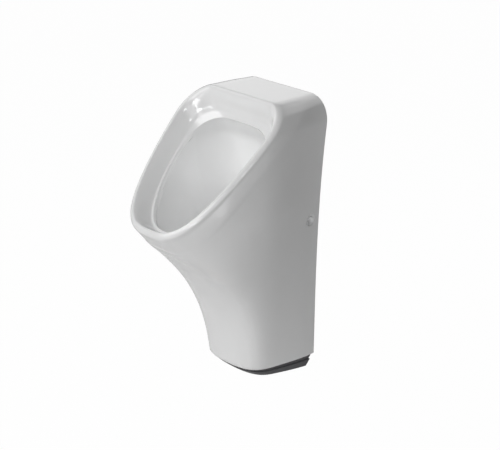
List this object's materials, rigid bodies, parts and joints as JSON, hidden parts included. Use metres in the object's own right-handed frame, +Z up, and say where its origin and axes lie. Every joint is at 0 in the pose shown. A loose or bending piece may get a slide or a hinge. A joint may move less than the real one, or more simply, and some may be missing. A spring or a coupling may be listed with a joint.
{
  "type": "urinal",
  "caption": "Wall-hung waterless urinal: glazed ceramic shell with tilted collar and deep bowl, lift-out odour-trap cartridge, rear waste pipe, wall brackets and bottom cover.",
  "frame": {"origin": "on the wall's face, at the middle of the four holes of the wall brackets", "axes": "+X to the right of someone who faces the urinal, +Y into the wall, +Z up; the bowl opens towards -Y"},
  "size_m": [0.2862, 0.385, 0.566],
  "materials": {
    "glaze": "glossy white glaze, bare fired clay on the edges that face the wall and the floor",
    "white_plastic": "smooth moulded",
    "seal_rubber": "matte",
    "wedge_rubber": "matte",
    "steel": "stainless, fine brushed",
    "silicone": "satin silicone",
    "grey_plastic": "extruded",
    "black_plastic": "moulded, slightly rough",
    "cap_plastic": "smooth moulded",
    "cover_plastic": "moulded, fine grain"
  },
  "bodies": {
    "urinal": {"ceramic_body": "glaze", "waste_flange": "white_plastic", "flange_seal": "seal_rubber", "under_seal": "seal_rubber", "trap_housing": "black_plastic", "inlet_wedge_ring": "wedge_rubber", "plug_seal": "seal_rubber", "outlet_pipe": "grey_plastic", "outlet_wedge_ring": "wedge_rubber", "wall_bracket_left": "steel", "wall_bracket_right": "steel", "side_bushes": "white_plastic"},
    "cartridge": {"cartridge_body": "white_plastic", "cartridge_o_ring": "seal_rubber", "strainer_grid": "steel", "membrane_ring": "grey_plastic", "hose_membrane": "silicone"},
    "lock_nut": {"lock_nut": "white_plastic"},
    "inlet_nut": {"inlet_nut": "black_plastic"},
    "outlet_nut": {"outlet_nut": "black_plastic"},
    "cleaning_plug": {"cleaning_plug": "white_plastic"},
    "side_screw_left": {"side_screw_left": "steel"},
    "side_screw_right": {"side_screw_right": "steel"},
    "side_cap_left": {"side_cap_left": "cap_plastic"},
    "side_cap_right": {"side_cap_right": "cap_plastic"},
    "cover": {"bottom_cover": "cover_plastic", "cover_clips": "steel"}
  },
  "joints": [
    {"name": "cartridge_lift", "type": "slide", "parent": "urinal", "child": "cartridge", "axis": [0, 0, 1], "range_m": [0, 0.12]},
    {"name": "lock_nut_turn", "type": "hinge", "parent": "urinal", "child": "lock_nut", "pos_m": [0, -0.092, -0.146], "axis": [0, 0, -1], "range_deg": [0, 1080]},
    {"name": "inlet_nut_turn", "type": "hinge", "parent": "urinal", "child": "inlet_nut", "pos_m": [0, -0.092, -0.169], "axis": [0, 0, 1], "range_deg": [0, 720]},
    {"name": "outlet_nut_turn", "type": "hinge", "parent": "urinal", "child": "outlet_nut", "pos_m": [0, -0.029, -0.227], "axis": [0, 1, 0], "range_deg": [0, 720]},
    {"name": "cleaning_plug_turn", "type": "hinge", "parent": "urinal", "child": "cleaning_plug", "pos_m": [0, -0.092, -0.279], "axis": [0, 0, -1], "range_deg": [0, 720]},
    {"name": "side_screw_left_turn", "type": "hinge", "parent": "urinal", "child": "side_screw_left", "pos_m": [-0.09, -0.025, 0], "axis": [-1, 0, 0], "range_deg": [0, 1440]},
    {"name": "side_screw_right_turn", "type": "hinge", "parent": "urinal", "child": "side_screw_right", "pos_m": [0.09, -0.025, 0], "axis": [1, 0, 0], "range_deg": [0, 1440]},
    {"name": "side_cap_left_pull", "type": "slide", "parent": "urinal", "child": "side_cap_left", "axis": [-1, 0, 0], "range_m": [0, 0.03]},
    {"name": "side_cap_right_pull", "type": "slide", "parent": "urinal", "child": "side_cap_right", "axis": [1, 0, 0], "range_m": [0, 0.03]},
    {"name": "cover_drop", "type": "slide", "parent": "urinal", "child": "cover", "axis": [0, 0, -1], "range_m": [0, 0.15]}
  ]
}
